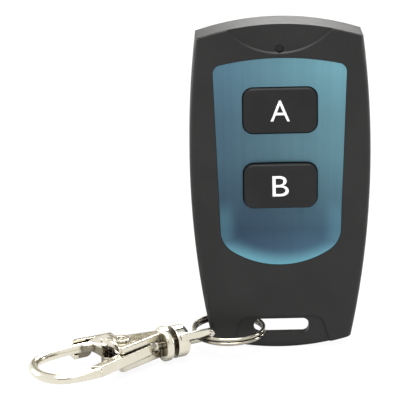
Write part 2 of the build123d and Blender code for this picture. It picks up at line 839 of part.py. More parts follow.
def hook_arm():
    """The arm from the cheeks to the bar, thinning towards the bar."""
    half = FRAME_THICKNESS / 2
    arm = slab(Polygon(*ARM_POINTS, align=None), -half, half)
    taper = Polygon(
        (0, -half),
        (ARM_TAPER_START, -half),
        (ARM_TAPER_END, -BAR_RADIUS),
        (2 * ARM_TAPER_END, -BAR_RADIUS),
        (2 * ARM_TAPER_END, BAR_RADIUS),
        (ARM_TAPER_END, BAR_RADIUS),
        (ARM_TAPER_START, half),
        (0, half),
        align=None,
    )
    return arm & Rot(90, 0, 0) * slab(taper, -CHEEK_END, CHEEK_END)


def hook_body():
    """Flange, slotted frame and hook, cast in one piece."""
    half = FRAME_THICKNESS / 2
    body = along_x(FLANGE_DISC_RADIUS, FLANGE_NEAR, FLANGE_NEAR + FLANGE_DISC_THICKNESS)
    body = fillet(body.edges().filter_by(GeomType.CIRCLE), FLANGE_DISC_ROUND)
    path = hook_path()
    start = Plane(path @ 0, z_dir=path % 0) * Circle(BAR_RADIUS)
    hook = sweep(start, path=path) - meeting_cut(0, 1)
    body += slab(cheek_face(), -half, half) + hook_arm() + hook
    window = FRAME_SLOT_END - FRAME_SLOT_START
    upward = (Align.MIN, Align.MIN, Align.CENTER)
    across = (Align.MIN, Align.CENTER, Align.CENTER)
    body -= Pos(FRAME_SLOT_START, 0, 0) * Box(window, 2 * CHEEK_END, FRAME_SLOT, align=across)
    mouth = Box(CHEEK_END - FRAME_SLOT_START, CHEEK_END, FRAME_SLOT, align=upward)
    body -= Pos(FRAME_SLOT_START, FRAME_MOUTH_Y, 0) * mouth
    body -= along_x(SHANK_RADIUS + SHANK_CLEARANCE, 0, FRAME_SLOT_START + SHANK_CLEARANCE)
    body -= along_z(RIVET_RADIUS + RIVET_CLEARANCE, PIVOT, -half, half)
    return clasp() * body


def gate_bar():
    """The flat bar that closes the hook's mouth."""
    tail_x, tail_y = GATE_TAIL
    end_x, end_y = GATE_LINE_END
    length = math.hypot(end_x - tail_x, end_y - tail_y)
    slope = math.degrees(math.atan2(end_y - tail_y, end_x - tail_x))
    bar = Box(length, GATE_THICKNESS, GATE_WIDTH, align=(Align.MIN, Align.CENTER, Align.CENTER))
    return Pos(tail_x, tail_y, 0) * Rot(0, 0, slope) * bar - meeting_cut(MEETING_GAP, -1)


def thumb_tab():
    """The rounded plate behind the hook's bar, with a small lip under the bar."""
    back = TAB_FACE_Y - TAB_THICKNESS
    width = TAB_END - TAB_START
    height = TAB_HIGH - TAB_LOW
    plate = Pos(width / 2, height / 2) * RectangleRounded(width, height, TAB_CORNER)
    tab = Pos(TAB_START, TAB_FACE_Y, TAB_LOW) * Rot(90, 0, 0) * slab(plate, 0, TAB_THICKNESS)
    size = (TAB_LIP_WIDTH, TAB_LIP_REACH + TAB_THICKNESS, TAB_LIP_HIGH - TAB_LOW - TAB_CORNER / 2)
    lip = Box(*size, align=(Align.MAX, Align.MIN, Align.MAX))
    return tab + Pos(TAB_END, back, TAB_LIP_HIGH) * lip


def gate_lever():
    """Gate bar, two hub ears on the rivet and the thumb tab behind the hook."""
    px, py = PIVOT
    half = GATE_WIDTH / 2
    foot = TAB_FACE_Y - TAB_THICKNESS
    hub = Pos(px, py) * Circle(HUB_RADIUS)
    web = Pos(px, py + HUB_RADIUS) * Rectangle(2 * HUB_RADIUS, 2 * HUB_RADIUS)
    arm = Pos(px, (py + foot) / 2) * Rectangle(LEVER_ARM_WIDTH, py - foot)
    ears = slab(hub + web + arm, -half, half)
    room = Pos(px, py) * Rectangle(3 * HUB_RADIUS, 2 * SPRING_ROOM)
    ears -= slab(room, -EAR_INNER, EAR_INNER)
    start = px - LEVER_ARM_WIDTH / 2
    length = TAB_START + TAB_CORNER - start
    strip = Pos(start, foot) * Rectangle(length, TAB_THICKNESS, align=(Align.MIN, Align.MIN))
    lever = gate_bar() + ears + slab(strip, -half, half) + thumb_tab()
    lever -= along_z(RIVET_RADIUS + RIVET_CLEARANCE, PIVOT, -half, half)
    return clasp() * lever


def gate_rivet():
    """The rivet through both cheeks, with dimpled heads."""
    half = FRAME_THICKNESS / 2
    outer = half + RIVET_HEAD_THICKNESS
    rivet = along_z(RIVET_RADIUS, PIVOT, -half, half)
    for side in (-1, 1):
        low, high = sorted((side * half, side * outer))
        head = along_z(RIVET_HEAD_RADIUS, PIVOT, low, high)
        cut = side * (outer - RIVET_DIMPLE_DEPTH)
        low, high = sorted((cut, side * outer))
        rivet += head - along_z(RIVET_DIMPLE_RADIUS, PIVOT, low, high)
    return clasp() * rivet


def gate_spring():
    """A torsion spring round the rivet between the lever's ears."""
    half_rise = SPRING_PITCH * SPRING_HALF_TURNS / 4
    slope = SPRING_PITCH / (2 * math.pi)

    def rise(angle):
        return slope * angle - half_rise, slope

    stations = [math.pi / 2 * step for step in range(2 * SPRING_HALF_TURNS + 1)]
    coil = round_wire(coil_path(stations, SPRING_RADIUS, rise), SPRING_WIRE_RADIUS)
    print("gate spring, least gap between turns:", round(SPRING_PITCH - 2 * SPRING_WIRE_RADIUS, 3))
    return clasp() * Pos(PIVOT[0], PIVOT[1], 0) * Rot(90, 0, 0) * coil


def write(name, pieces):
    """Stands the pieces up and writes them as one node."""
    pieces = pieces if isinstance(pieces, list) else [pieces]
    solids = [solid for piece in pieces for solid in piece.solids()]
    upright = [Plane.XZ.location * solid for solid in solids]
    shape = upright[0] if len(upright) == 1 else Compound(children=upright)
    export_step(shape, os.path.join("parts", name + ".step"))


def main():
    os.makedirs("parts", exist_ok=True)
    write("front_shell", front_shell())
    write("back_shell", back_shell())
    write("trim_plate", trim_plate())
    for key in KEY_BELOW_PLATE_TOP:
        y = key_y(key)
        write("button_" + key, key_cap(y))
        write("switch_base_" + key, switch_base(y))
        write("switch_cover_" + key, switch_cover(y))
        write("switch_plunger_" + key, switch_plunger(y))
        write("switch_dome_" + key, switch_dome(y))
    write("switch_leads", switch_leads())
    write("circuit_board", circuit_board())
    write("antenna_trace", antenna_trace())
    write("encoder_chip", encoder_chip())
    write("saw_resonator", saw_resonator())
    write("rf_transistor", on_board(TRANSISTOR_SIZE, from_key_b(TRANSISTOR_FROM_KEY_B)))
    write("chip_passives", chip_passives())
    write("indicator_led", indicator_led())
    write("lamp_lens", lamp_lens())
    write("coin_cell", coin_cell())
    write("battery_clip", battery_clip())
    write("battery_contact", battery_contact())
    write("back_screws", back_screws())
    write("split_ring", split_ring())
    write("swivel_eye", swivel_eye())
    write("hook_body", hook_body())
    write("gate_lever", gate_lever())
    write("gate_rivet", gate_rivet())
    write("gate_spring", gate_spring())


main()
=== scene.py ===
import json
import logging
import math
from dataclasses import dataclass, field, replace
from enum import Enum

import bmesh
import bpy
from mathutils import Matrix, Vector

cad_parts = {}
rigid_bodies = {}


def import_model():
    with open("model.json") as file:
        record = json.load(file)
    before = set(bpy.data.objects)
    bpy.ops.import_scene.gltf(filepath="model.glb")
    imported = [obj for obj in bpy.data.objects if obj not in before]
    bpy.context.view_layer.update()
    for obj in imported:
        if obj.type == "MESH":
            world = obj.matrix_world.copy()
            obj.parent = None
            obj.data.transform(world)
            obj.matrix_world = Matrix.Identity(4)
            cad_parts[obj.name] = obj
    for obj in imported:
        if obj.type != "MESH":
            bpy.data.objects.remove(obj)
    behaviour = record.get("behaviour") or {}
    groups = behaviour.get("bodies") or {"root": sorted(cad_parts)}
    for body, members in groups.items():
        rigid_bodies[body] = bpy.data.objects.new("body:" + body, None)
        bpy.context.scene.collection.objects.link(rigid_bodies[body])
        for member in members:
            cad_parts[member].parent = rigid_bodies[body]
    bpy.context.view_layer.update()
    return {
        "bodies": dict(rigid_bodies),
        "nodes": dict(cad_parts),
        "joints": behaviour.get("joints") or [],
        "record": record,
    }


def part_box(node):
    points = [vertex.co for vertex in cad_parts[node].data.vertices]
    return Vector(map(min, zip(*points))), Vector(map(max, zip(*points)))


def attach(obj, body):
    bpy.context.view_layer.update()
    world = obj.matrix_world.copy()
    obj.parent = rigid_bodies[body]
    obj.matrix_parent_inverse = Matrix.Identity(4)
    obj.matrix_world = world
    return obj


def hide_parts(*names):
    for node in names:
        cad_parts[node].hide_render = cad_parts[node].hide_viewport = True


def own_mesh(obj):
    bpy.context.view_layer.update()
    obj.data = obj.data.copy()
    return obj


LOG = logging.getLogger("key_remote")
MM = 0.001
RISING = (0.0, 1.0)
FALLING = (1.0, 0.0)
NOISE_MIDDLE = (0.3, 0.7)
TONE_STOPS = (0.35, 0.65)
SHINE_PATCH_SHARE = 0.4
BRUSHING = (1.0, 0.02, 0.02)
EDGE_SAMPLES = 6
SHADE_SAMPLES = 8
MERGE_GAP = 1e-7
LETTER_MERGE_GAP = 1e-6


class Key(Enum):
    """The keys, each with the plain channel letter printed on it."""

    UPPER = "A"
    LOWER = "B"


class Grain(Enum):
    """The ways a surface's fine relief can run."""

    EVEN = "even"
    ACROSS = "across"


@dataclass(frozen=True)
class Finish:
    """A surface finish with a tone that drifts slightly, a fine relief and, where set, painted
    shade in its recesses.

    Colours are linear. Lengths are in metres.
    """

    name: str
    color: tuple[float, float, float]
    color_far: tuple[float, float, float]
    metallic: float = 0.0
    roughness: tuple[float, float] = (0.4, 0.5)
    patch: float = 0.006
    grain: float = 0.0004
    relief: float = 0.00001
    run: Grain = Grain.EVEN
    ior: float = 1.5
    edge: float = 0.0
    # The colour that recesses are darkened towards: painted shade, found by ambient occlusion.
    painted_recess_shade: tuple[float, float, float] | None = None
    shade_reach: float = 0.0035
    shade_span: tuple[float, float] = (0.35, 0.8)

    def build(self) -> bpy.types.Material:
        """Builds the node material.

        Returns:
            The finished material.
        """
        material = bpy.data.materials.new(self.name)
        material.use_nodes = True
        tree = material.node_tree
        tree.nodes.clear()
        output = tree.nodes.new("ShaderNodeOutputMaterial")
        shader = tree.nodes.new("ShaderNodeBsdfPrincipled")
        shader.inputs["Metallic"].default_value = self.metallic
        shader.inputs["IOR"].default_value = self.ior
        tree.links.new(shader.outputs["BSDF"], output.inputs["Surface"])
        place = tree.nodes.new("ShaderNodeTexCoord").outputs["Object"]
        self._link_tone(tree, shader, place)
        self._link_roughness(tree, shader, place)
        self._link_relief(tree, shader, place)
        return material

    def _noise(self, tree: bpy.types.NodeTree, place: bpy.types.NodeSocket, size: float,
               detail: float = 3.0) -> bpy.types.NodeSocket:
        """Adds a noise pattern of a real size.

        Args:
            tree: The material's node tree.
            place: The coordinates that the pattern reads.
            size: The size of one patch in metres.
            detail: How many finer layers the pattern has.

        Returns:
            The pattern's value socket.
        """
        noise = tree.nodes.new("ShaderNodeTexNoise")
        noise.inputs["Scale"].default_value = 1.0 / size
        noise.inputs["Detail"].default_value = detail
        tree.links.new(place, noise.inputs["Vector"])
        return noise.outputs["Fac"]

    def _link_tone(self, tree: bpy.types.NodeTree, shader: bpy.types.Node,
                   place: bpy.types.NodeSocket) -> None:
        """Drives the colour between its two tones, and paints shade into the recesses where set.

        Args:
            tree: The material's node tree.
            shader: The surface shader.
            place: The coordinates that the pattern reads.
        """
        ramp = tree.nodes.new("ShaderNodeValToRGB")
        tones = (self.color, self.color_far)
        for element, stop, tone in zip(ramp.color_ramp.elements, TONE_STOPS, tones):
            element.position = stop
            element.color = (*tone, 1.0)
        tree.links.new(self._noise(tree, place, self.patch), ramp.inputs["Fac"])
        tone = ramp.outputs["Color"]
        # Painted shade: the colour darkens where ambient occlusion finds a recess.
        if self.painted_recess_shade:
            tone = self._paint_recess_shade(tree, tone, self._unshaded_share(tree, place))
        tree.links.new(tone, shader.inputs["Base Color"])

    def _paint_recess_shade(self, tree: bpy.types.NodeTree, tone: bpy.types.NodeSocket,
                share: bpy.types.NodeSocket) -> bpy.types.NodeSocket:
        """Paints shade into the recesses by darkening their colour.

        Args:
            tree: The material's node tree.
            tone: The colour of the open surface.
            share: How open the surface is, from 0 to 1.

        Returns:
            The colour with its painted recess shade.
        """
        mix = tree.nodes.new("ShaderNodeMix")
        mix.data_type = "RGBA"
        mix.inputs["A"].default_value = (*self.painted_recess_shade, 1.0)
        tree.links.new(share, mix.inputs["Factor"])
        tree.links.new(tone, mix.inputs["B"])
        return mix.outputs["Result"]

    def _unshaded_share(self, tree: bpy.types.NodeTree,
                    place: bpy.types.NodeSocket) -> bpy.types.NodeSocket:
        """Tells the open surfaces from the recesses that get painted shade.

        Args:
            tree: The material's node tree.
            place: The coordinates that a pattern reads.

        Returns:
            A socket that is 1 in the open and 0 in a deep recess.
        """
        hidden = tree.nodes.new("ShaderNodeAmbientOcclusion")
        hidden.samples = SHADE_SAMPLES
        hidden.inputs["Distance"].default_value = self.shade_reach
        return self._range(tree, hidden.outputs["AO"], self.shade_span, RISING)

    def _range(self, tree: bpy.types.NodeTree, value: bpy.types.NodeSocket,
               source: tuple[float, float], target: tuple[float, float],
               smooth: bool = False) -> bpy.types.NodeSocket:
        """Maps a value from one range to another.

        Args:
            tree: The material's node tree.
            value: The socket that is read.
            source: The range that it is read over.
            target: The range that it is given out over.
            smooth: Whether the change eases in and out.

        Returns:
            The mapped value's socket.
        """
        spread = tree.nodes.new("ShaderNodeMapRange")
        spread.interpolation_type = "SMOOTHSTEP" if smooth else "LINEAR"
        spread.inputs["From Min"].default_value = source[0]
        spread.inputs["From Max"].default_value = source[1]
        spread.inputs["To Min"].default_value = target[0]
        spread.inputs["To Max"].default_value = target[1]
        tree.links.new(value, spread.inputs["Value"])
        return spread.outputs["Result"]

    def _times(self, tree: bpy.types.NodeTree, first: bpy.types.NodeSocket,
               second: bpy.types.NodeSocket) -> bpy.types.NodeSocket:
        """Multiplies two values.

        Args:
            tree: The material's node tree.
            first: The first value's socket.
            second: The second value's socket.

        Returns:
            The product's socket.
        """
        product = tree.nodes.new("ShaderNodeMath")
        product.operation = "MULTIPLY"
        tree.links.new(first, product.inputs[0])
        tree.links.new(second, product.inputs[1])
        return product.outputs["Value"]

    def _link_roughness(self, tree: bpy.types.NodeTree, shader: bpy.types.Node,
                        place: bpy.types.NodeSocket) -> None:
        """Drives the roughness between its two limits.

        Args:
            tree: The material's node tree.
            shader: The surface shader.
            place: The coordinates that the pattern reads.
        """
        patches = self._noise(tree, place, self.patch * SHINE_PATCH_SHARE)
        tree.links.new(self._range(tree, patches, NOISE_MIDDLE, self.roughness),
                       shader.inputs["Roughness"])

    def _link_relief(self, tree: bpy.types.NodeTree, shader: bpy.types.Node,
                     place: bpy.types.NodeSocket) -> None:
        """Adds the fine relief of moulding, casting or brushing.

        Args:
            tree: The material's node tree.
            shader: The surface shader.
            place: The coordinates that the pattern reads.
        """
        if self.run is Grain.ACROSS:
            place = self._brushed(tree, place)
        bump = tree.nodes.new("ShaderNodeBump")
        bump.inputs["Strength"].default_value = 1.0
        bump.inputs["Distance"].default_value = self.relief
        tree.links.new(self._noise(tree, place, self.grain, 2.0), bump.inputs["Height"])
        if self.edge:
            soften = tree.nodes.new("ShaderNodeBevel")
            soften.samples = EDGE_SAMPLES
            soften.inputs["Radius"].default_value = self.edge
            tree.links.new(soften.outputs["Normal"], bump.inputs["Normal"])
        tree.links.new(bump.outputs["Normal"], shader.inputs["Normal"])

    def _brushed(self, tree: bpy.types.NodeTree,
                 place: bpy.types.NodeSocket) -> bpy.types.NodeSocket:
        """Draws a pattern out into fine upright lines.

        Args:
            tree: The material's node tree.
            place: The coordinates that the pattern read.

        Returns:
            The coordinates that it reads instead.
        """
        mapping = tree.nodes.new("ShaderNodeMapping")
        mapping.inputs["Scale"].default_value = BRUSHING
        tree.links.new(place, mapping.inputs["Vector"])
        return mapping.outputs["Vector"]


@dataclass(frozen=True)
class TealFinish(Finish):
    """Brushed anodised aluminium in blue-teal, with painted reflection and shade grading up and
    across the plate.
    """

    # Painted reflection and shade: the colour grades up the plate over this height and across it
    # over this width.
    rise: tuple[float, float] = (-0.014, 0.022)
    spread: tuple[float, float] = (-0.010, 0.010)
    stops: tuple[tuple[float, tuple[float, float, float]], ...] = ()
    # Painted light: the plate is darker on its left and lighter on its right.
    side_light: tuple[tuple[float, tuple[float, float, float]], ...] = (
        (0.0, (0.45, 0.455, 0.50)), (0.5, (0.65, 0.65, 0.65)), (1.0, (0.84, 0.90, 0.86)))
    streak_width: float = 0.0008
    streak_detail: float = 4.0
    streak_levels: tuple[float, float] = (1.44, 1.56)
    # Painted reflections: a pale bow along the plate's foot and paler bands at its sides.
    bow_reflection: tuple[float, float, float] = (0.135, 0.34, 0.42)
    bow_centre: tuple[float, float] = (0.0007, 0.00143)
    bow_radii: tuple[float, float] = (0.0124, 0.0157)
    bow_heights: tuple[float, float] = (-0.013, -0.0072)
    edge_band: tuple[float, float] = (0.0072, 0.0100)
    edge_heights: tuple[float, float] = (-0.0055, -0.001)
    edge_share: float = 0.28

    def _link_tone(self, tree: bpy.types.NodeTree, shader: bpy.types.Node,
                   place: bpy.types.NodeSocket) -> None:
        """Paints reflected light and shade into the colour, up and across the plate, with a
        painted pale bow of reflection along its foot.

        Args:
            tree: The material's node tree.
            shader: The surface shader.
            place: The coordinates that the pattern reads.
        """
        split = tree.nodes.new("ShaderNodeSeparateXYZ")
        tree.links.new(place, split.inputs["Vector"])
        across, upward = split.outputs["X"], split.outputs["Z"]
        mix = tree.nodes.new("ShaderNodeMix")
        mix.data_type = "RGBA"
        mix.inputs["B"].default_value = (*self.bow_reflection, 1.0)
        tree.links.new(self._graded(tree, place, across, upward), mix.inputs["A"])
        tree.links.new(self._painted_reflection_share(tree, place, across, upward), mix.inputs["Factor"])
        tree.links.new(mix.outputs["Result"], shader.inputs["Base Color"])

    def _graded(self, tree: bpy.types.NodeTree, place: bpy.types.NodeSocket,
                across: bpy.types.NodeSocket,
                upward: bpy.types.NodeSocket) -> bpy.types.NodeSocket:
        """Makes the colour with its painted reflection and shade and its brushed streaks.

        Args:
            tree: The material's node tree.
            place: The coordinates that the pattern reads.
            across: The place across the plate.
            upward: The place up the plate.

        Returns:
            The colour's socket.
        """
        tone = self._ramp(tree, self._range(tree, upward, self.rise, RISING), self.stops)
        side_lighting = self._ramp(tree, self._range(tree, across, self.spread, RISING), self.side_light)
        side_lit_tone = tree.nodes.new("ShaderNodeVectorMath")
        side_lit_tone.operation = "MULTIPLY"
        tree.links.new(tone, side_lit_tone.inputs[0])
        tree.links.new(side_lighting, side_lit_tone.inputs[1])
        streak = self._noise(tree, self._brushed(tree, place), self.streak_width,
                             self.streak_detail)
        graded = tree.nodes.new("ShaderNodeVectorMath")
        graded.operation = "SCALE"
        tree.links.new(side_lit_tone.outputs["Vector"], graded.inputs[0])
        tree.links.new(self._range(tree, streak, NOISE_MIDDLE, self.streak_levels),
                       graded.inputs["Scale"])
        return graded.outputs["Vector"]

    def _painted_reflection_share(self, tree: bpy.types.NodeTree, place: bpy.types.NodeSocket,
                    across: bpy.types.NodeSocket,
                    upward: bpy.types.NodeSocket) -> bpy.types.NodeSocket:
        """Finds the painted reflections: the pale bow along the foot and the paler sides above
        its ends.

        Args:
            tree: The material's node tree.
            place: The coordinates that the pattern reads.
            across: The place across the plate.
            upward: The place up the plate.

        Returns:
            A socket that is 1 where the painted reflection is palest.
        """
        centred = tree.nodes.new("ShaderNodeMapping")
        centre_x, centre_z = self.bow_centre
        centred.inputs["Location"].default_value = (-centre_x, 0.0, -centre_z)
        centred.inputs["Scale"].default_value = (1.0, 0.0, 1.0)
        tree.links.new(place, centred.inputs["Vector"])
        reach = tree.nodes.new("ShaderNodeVectorMath")
        reach.operation = "LENGTH"
        tree.links.new(centred.outputs["Vector"], reach.inputs[0])
        bow_reflection = self._range(tree, reach.outputs["Value"], self.bow_radii, RISING, True)
        foot = self._range(tree, upward, self.bow_heights, FALLING, True)
        aside = tree.nodes.new("ShaderNodeMath")
        aside.operation = "ABSOLUTE"
        tree.links.new(across, aside.inputs[0])
        edge = self._range(tree, aside.outputs["Value"], self.edge_band,
                           (0.0, self.edge_share), True)
        below = self._range(tree, upward, self.edge_heights, FALLING, True)
        reflected = tree.nodes.new("ShaderNodeMath")
        reflected.operation = "MAXIMUM"
        tree.links.new(self._times(tree, bow_reflection, foot), reflected.inputs[0])
        tree.links.new(self._times(tree, edge, below), reflected.inputs[1])
        return reflected.outputs["Value"]

    def _ramp(self, tree: bpy.types.NodeTree, value: bpy.types.NodeSocket,
              stops: tuple[tuple[float, tuple[float, float, float]], ...],
              ) -> bpy.types.NodeSocket:
        """Turns a value into a colour along a row of stops.

        Args:
            tree: The material's node tree.
            value: The socket that is read.
            stops: The positions and their colours.

        Returns:
            The colour's socket.
        """
        ramp = tree.nodes.new("ShaderNodeValToRGB")
        elements = ramp.color_ramp.elements
        while len(elements) < len(stops):
            elements.new(0.5)
        for element, (position, color) in zip(elements, stops):
            element.position = position
            element.color = (*color, 1.0)
        tree.links.new(value, ramp.inputs["Fac"])
        return ramp.outputs["Color"]


@dataclass(frozen=True)
class ThroatShadeFinish(Finish):
    """Nickel with painted shade on the inside of the hook's throat.

    The clasp's line runs from the swivel to the hook's tip.
    """

    origin: tuple[float, float, float] = (-0.0201, -0.0165, -0.02655)
    line: tuple[float, float, float] = (-0.894934, -0.446198, 0.0)
    side: tuple[float, float, float] = (0.446198, -0.894934, 0.0)
    far_half: tuple[float, float] = (-0.0024, -0.0014)
    throat_end: tuple[float, float] = (0.0150, 0.0160)
    throat_roof: tuple[float, float] = (0.0003, 0.0008)
    facing_in: tuple[float, float] = (0.2, 0.6)
    # The share of colour kept where shade is painted inside the throat.
    throat_shade_share: float = 0.15

    def _unshaded_share(self, tree: bpy.types.NodeTree,
                    place: bpy.types.NodeSocket) -> bpy.types.NodeSocket:
        """Adds painted shade on the far half of the throat, as in a recess.

        Args:
            tree: The material's node tree.
            place: The coordinates that a pattern reads.

        Returns:
            A socket that is 1 in the open and 0 in a deep recess.
        """
        share = super()._unshaded_share(tree, place)
        offset = tree.nodes.new("ShaderNodeVectorMath")
        offset.operation = "SUBTRACT"
        offset.inputs[1].default_value = self.origin
        tree.links.new(place, offset.inputs[0])
        way = offset.outputs["Vector"]
        far = self._range(tree, self._dot(tree, way, self.side), self.far_half, FALLING, True)
        short = self._range(tree, self._dot(tree, way, self.line), self.throat_end,
                            FALLING, True)
        low = self._range(tree, self._dot(tree, way, (0.0, 0.0, 1.0)), self.throat_roof,
                          FALLING, True)
        facing = tuple(a + b for a, b in zip(self.line, self.side))
        surface = tree.nodes.new("ShaderNodeTexCoord").outputs["Normal"]
        inward = self._range(tree, self._dot(tree, surface, facing), self.facing_in, RISING)
        inside = self._times(tree, self._times(tree, far, short),
                             self._times(tree, low, inward))
        # Painted shade: the inside of the throat keeps only a share of its colour.
        kept = self._range(tree, inside, RISING, (1.0, self.throat_shade_share))
        return self._times(tree, share, kept)

    def _dot(self, tree: bpy.types.NodeTree, vector: bpy.types.NodeSocket,
             axis: tuple[float, float, float]) -> bpy.types.NodeSocket:
        """Measures a vector along an axis.

        Args:
            tree: The material's node tree.
            vector: The vector's socket.
            axis: The axis.

        Returns:
            The length's socket.
        """
        product = tree.nodes.new("ShaderNodeVectorMath")
        product.operation = "DOT_PRODUCT"
        product.inputs[1].default_value = axis
        tree.links.new(vector, product.inputs[0])
        return product.outputs["Value"]


# Painted shade: the shell and keys darken in their recesses and in the gaps around the keys.
SHELL = Finish("shell_black", (0.0112, 0.0112, 0.0108), (0.0145, 0.0145, 0.0140),
               roughness=(0.42, 0.5), patch=0.009, grain=0.00025, relief=0.000004, ior=1.37,
               painted_recess_shade=(0.001, 0.001, 0.001), shade_reach=0.0014, shade_span=(0.55, 0.93))
KEY = Finish("key_black", (0.0082, 0.008, 0.008), (0.0107, 0.0104, 0.0104),
             roughness=(0.5, 0.58), patch=0.005, grain=0.0002, relief=0.000003, ior=1.35,
             painted_recess_shade=(0.001, 0.001, 0.001), shade_reach=0.0010, shade_span=(0.4, 0.8))
TEAL = TealFinish("plate_teal", (0.0, 0.0, 0.0), (0.0, 0.0, 0.0), metallic=0.75,
                  roughness=(0.32, 0.42), patch=0.004, grain=0.0001, relief=0.000002,
                  run=Grain.ACROSS,
                  # These stops paint reflected light and shade up the plate: dark in its lower
                  # middle, light at its top.
                  stops=((0.0, (0.055, 0.11, 0.165)), (0.09, (0.048, 0.095, 0.15)),
                         (0.18, (0.039, 0.078, 0.12)), (0.39, (0.064, 0.127, 0.17)),
                         (0.57, (0.085, 0.171, 0.216)), (0.77, (0.096, 0.19, 0.24)),
                         (1.0, (0.124, 0.262, 0.322))))
# Painted shade: the nickel pieces darken in their recesses.
NICKEL = Finish("nickel", (0.80, 0.76, 0.64), (0.76, 0.72, 0.59), metallic=1.0,
                roughness=(0.10, 0.18), patch=0.003, grain=0.0012, relief=0.000005,
                edge=0.00028, painted_recess_shade=(0.16, 0.14, 0.10))
# Painted shade and reflection: the ring is a darker copy of the nickel, with deeper painted
# shade in its recesses.
RING = replace(NICKEL, name="nickel_ring", color=(0.62, 0.58, 0.47),
               color_far=(0.52, 0.48, 0.39), painted_recess_shade=(0.05, 0.045, 0.035), shade_reach=0.006,
               shade_span=(0.45, 0.9))
# Painted shade: the lever and hook body darken in their recesses and inside the hook's throat.
LEVER = ThroatShadeFinish("nickel_lever", NICKEL.color, NICKEL.color_far, metallic=1.0,
                     roughness=NICKEL.roughness, patch=NICKEL.patch, grain=NICKEL.grain,
                     relief=NICKEL.relief, edge=NICKEL.edge, painted_recess_shade=NICKEL.painted_recess_shade)
CASTING = replace(LEVER, name="nickel_casting", edge=0.0005)
STEEL = Finish("steel", (0.60, 0.59, 0.57), (0.52, 0.51, 0.49), metallic=1.0,
               roughness=(0.28, 0.38), patch=0.002, grain=0.0002, relief=0.000002)
SCREW = Finish("screw_black", (0.10, 0.10, 0.10), (0.14, 0.14, 0.14), metallic=1.0,
               roughness=(0.3, 0.4), patch=0.001, grain=0.0001, relief=0.000002)
TIN = Finish("tin", (0.70, 0.70, 0.69), (0.62, 0.62, 0.61), metallic=1.0,
             roughness=(0.25, 0.35), patch=0.001, grain=0.0002, relief=0.000002)
MOULDING = Finish("switch_nylon", (0.05, 0.05, 0.05), (0.06, 0.06, 0.06),
                  roughness=(0.4, 0.5), patch=0.002, grain=0.0002, relief=0.000003)
BOARD = Finish("board_green", (0.02, 0.14, 0.05), (0.025, 0.17, 0.06),
               roughness=(0.3, 0.4), patch=0.004, grain=0.0003, relief=0.000002)
COPPER = Finish("copper", (0.72, 0.38, 0.2), (0.62, 0.32, 0.16), metallic=1.0,
                roughness=(0.3, 0.4), patch=0.002, grain=0.0002, relief=0.000002)
CHIP = Finish("chip_epoxy", (0.025, 0.025, 0.025), (0.035, 0.035, 0.035),
              roughness=(0.5, 0.6), patch=0.001, grain=0.0001, relief=0.000003)
CERAMIC = Finish("ceramic", (0.42, 0.32, 0.2), (0.5, 0.4, 0.27),
                 roughness=(0.5, 0.6), patch=0.001, grain=0.0001, relief=0.000002)
# Painted shade: the lamp lens is made near black so the lamp hole shows dark.
LENS = Finish("lens_hole_shade", (0.013, 0.013, 0.013), (0.016, 0.015, 0.015),
              roughness=(0.35, 0.45), patch=0.001, grain=0.0001, relief=0.000001, ior=1.3)
LAMP = Finish("lamp_tint", (0.25, 0.02, 0.015), (0.3, 0.03, 0.02),
              roughness=(0.1, 0.2), patch=0.001, grain=0.0001, relief=0.000001)
LEGEND = Finish("legend_white", (0.88, 0.88, 0.87), (0.93, 0.93, 0.92),
                roughness=(0.5, 0.6), patch=0.001, grain=0.0001, relief=0.000001)


@dataclass
class Bench:
    """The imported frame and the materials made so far."""

    frame: dict
    made: dict[str, bpy.types.Material] = field(default_factory=dict)

    def material(self, finish: Finish) -> bpy.types.Material:
        """Gives the finish's material, built once.

        Args:
            finish: The finish wanted.

        Returns:
            Its material.
        """
        if finish.name not in self.made:
            self.made[finish.name] = finish.build()
        return self.made[finish.name]

    def dress(self, node: str, finish: Finish) -> None:
        """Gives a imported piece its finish.

        Args:
            node: The piece's name.
            finish: The finish that it gets.
        """
        piece = self.frame["nodes"][node]
        piece.data.materials.clear()
        piece.data.materials.append(self.material(finish))
        LOG.info("dressed %s in %s", node, finish.name)

    def add(self, name: str, mesh: bpy.types.Mesh, body: str, slot: str,
            finish: Finish) -> bpy.types.Object:
        """Adds a new piece that rides on a body.

        Args:
            name: The piece's name.
            mesh: Its mesh, in place.
            body: The body that it rides on.
            slot: The record's material slot; not used.
            finish: The finish that it gets.

        Returns:
            The new object.
        """
        piece = bpy.data.objects.new(name, mesh)
        bpy.context.scene.collection.objects.link(piece)
        piece.data.materials.clear()
        piece.data.materials.append(self.material(finish))
        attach(piece, body)
        LOG.info("added %s to %s", name, body)
        return piece


